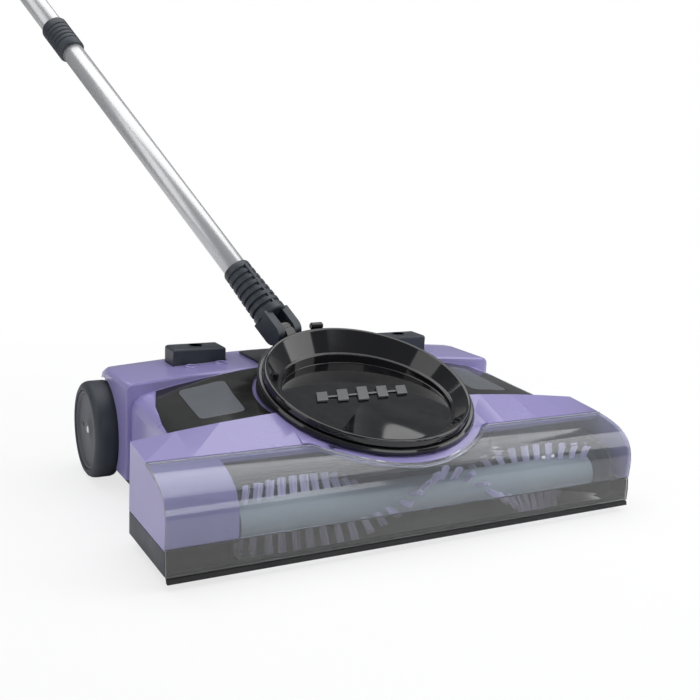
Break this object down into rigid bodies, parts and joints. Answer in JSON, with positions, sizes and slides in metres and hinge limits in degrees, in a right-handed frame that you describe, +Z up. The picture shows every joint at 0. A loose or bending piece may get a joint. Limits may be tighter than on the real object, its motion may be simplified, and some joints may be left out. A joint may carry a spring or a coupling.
{
  "type": "carpet sweeper",
  "caption": "Cordless floor sweeper: low lavender head with a motor-driven brush behind a smoked window, foot pedals, bottom-emptying dust cup and a swivelling, tilting tube handle.",
  "frame": {"origin": "on the floor, below the middle of the whole object's box", "axes": "+Z up from the floor, +Y towards the rear of the head, +X to the right as seen from the front"},
  "size_m": [0.5766, 0.9186, 0.8187],
  "materials": {
    "lavender_shell": "gloss moulded plastic, lavender",
    "dark_plastic": "fine satin moulded plastic, dark blue-grey",
    "gloss_black": "high gloss black",
    "textured_black": "black with a fine cross-hatched grain",
    "panel_black": "gloss black, slightly olive",
    "smoked_window": "clear smoked plastic",
    "smoked_skirt": "clear smoked plastic, darker",
    "grey_lens": "translucent grey plastic",
    "smoked_cup": "clear smoked plastic, thin wall",
    "mark_satin": "satin silver paint",
    "soft_rubber": "soft black rubber",
    "grip_rubber": "soft-touch grip",
    "handle_tube": "satin silver tube",
    "tyre_rubber": "moulded tyre, dark blue-grey",
    "hub_plastic": "satin moulded plastic, mid grey",
    "brush_sleeve": "pale blue-grey, fine speckle",
    "bristle_nylon": "lavender nylon bristle",
    "bright_steel": "turned and plated steel",
    "cell_wrap": "rechargeable cells in shrink wrap, average density about 2.7",
    "board_green": "solder-masked board",
    "black_plastic": "moulded plastic, black"
  },
  "bodies": {
    "floor_head": {"dish": "gloss_black", "dish_mark": "mark_satin", "upper_housing": "lavender_shell", "deck_panel_left": "panel_black", "deck_panel_right": "panel_black", "sight_window_left": "grey_lens", "sight_window_right": "grey_lens", "centre_deck": "textured_black", "brush_window": "smoked_window", "front_skirt": "smoked_skirt", "front_lip": "soft_rubber", "base_plate": "dark_plastic", "dust_cup": "smoked_cup", "door_hinge_pin": "bright_steel", "brush_bearing_left": "bright_steel", "brush_bearing_right": "bright_steel", "motor_can": "bright_steel", "drive_belt": "soft_rubber", "battery_pack": "cell_wrap", "circuit_board": "board_green", "power_switch": "black_plastic", "charge_jack": "black_plastic", "indicator_lens_a": "grey_lens", "indicator_lens_b": "grey_lens", "power_spring": "bright_steel", "release_spring": "bright_steel", "wheel_axle_left": "bright_steel", "roller_pin_left": "bright_steel", "wheel_axle_right": "bright_steel", "roller_pin_right": "bright_steel", "base_screw_1": "bright_steel", "base_screw_2": "bright_steel", "base_screw_3": "bright_steel"},
    "swivel": {"swivel_ring": "gloss_black", "knuckle_pin": "bright_steel"},
    "handle": {"handle_sleeve": "dark_plastic", "lower_tube": "handle_tube", "middle_tube": "handle_tube", "upper_tube": "handle_tube", "tube_joiner_lower": "dark_plastic", "tube_joiner_upper": "dark_plastic", "hand_grip": "grip_rubber"},
    "power_pedal": {"power_pedal": "dark_plastic"},
    "release_pedal": {"release_pedal": "dark_plastic"},
    "wheel_left": {"wheel_tyre_left": "tyre_rubber", "wheel_hub_left": "hub_plastic"},
    "wheel_right": {"wheel_tyre_right": "tyre_rubber", "wheel_hub_right": "hub_plastic"},
    "roller_left": {"front_roller_left": "tyre_rubber"},
    "roller_right": {"front_roller_right": "tyre_rubber"},
    "brush": {"brush_core": "brush_sleeve", "brush_shaft": "bright_steel", "bristle_row_a": "bristle_nylon", "bristle_row_b": "bristle_nylon", "brush_cap_left": "dark_plastic", "brush_cap_right": "dark_plastic", "brush_pulley": "dark_plastic"},
    "rotor": {"motor_shaft": "bright_steel", "motor_pulley": "bright_steel"},
    "dust_door": {"dust_door": "dark_plastic"}
  },
  "joints": [
    {"name": "handle_swivel", "type": "hinge", "parent": "floor_head", "child": "swivel", "pos_m": [0.10433, -0.36906, 0.0961], "axis": [0, -0.3256, 0.9455], "range_deg": [-70.7, 29.3]},
    {"name": "handle_tilt", "type": "hinge", "parent": "swivel", "child": "handle", "pos_m": [0.07163, -0.28529, 0.1186], "axis": [0.9354, 0.3342, 0.1151], "range_deg": [-30, 48]},
    {"name": "power_press", "type": "slide", "parent": "floor_head", "child": "power_pedal", "axis": [0, 0, -1], "range_m": [0, 0.003], "stiffness_N_per_m": 900, "springref_m": -0.002, "deforming": ["power_spring"]},
    {"name": "release_press", "type": "slide", "parent": "floor_head", "child": "release_pedal", "axis": [0, 0, -1], "range_m": [0, 0.003], "stiffness_N_per_m": 900, "springref_m": -0.002, "deforming": ["release_spring"]},
    {"name": "wheel_left_spin", "type": "hinge", "parent": "floor_head", "child": "wheel_left", "pos_m": [-0.06392, -0.23836, 0.038], "axis": [1, 0, 0], "continuous": true},
    {"name": "wheel_right_spin", "type": "hinge", "parent": "floor_head", "child": "wheel_right", "pos_m": [0.27258, -0.23836, 0.038], "axis": [1, 0, 0], "continuous": true},
    {"name": "roller_left_spin", "type": "hinge", "parent": "floor_head", "child": "roller_left", "pos_m": [-0.00768, -0.37686, 0.0075], "axis": [1, 0, 0], "continuous": true},
    {"name": "roller_right_spin", "type": "hinge", "parent": "floor_head", "child": "roller_right", "pos_m": [0.21632, -0.37686, 0.0075], "axis": [1, 0, 0], "continuous": true},
    {"name": "brush_spin", "type": "hinge", "parent": "floor_head", "child": "brush", "pos_m": [0.12033, -0.42886, 0.0256], "axis": [1, 0, 0], "continuous": true},
    {"name": "rotor_spin", "type": "hinge", "parent": "floor_head", "child": "rotor", "pos_m": [-0.01868, -0.28086, 0.038], "axis": [1, 0, 0], "continuous": true},
    {"name": "door_open", "type": "hinge", "parent": "floor_head", "child": "dust_door", "pos_m": [0.10433, -0.36286, 0.011], "axis": [-1, 0, 0], "range_deg": [0, 80]}
  ],
  "couplings": [
    {"joint": "rotor_spin", "follows": "brush_spin", "ratio": 2}
  ]
}
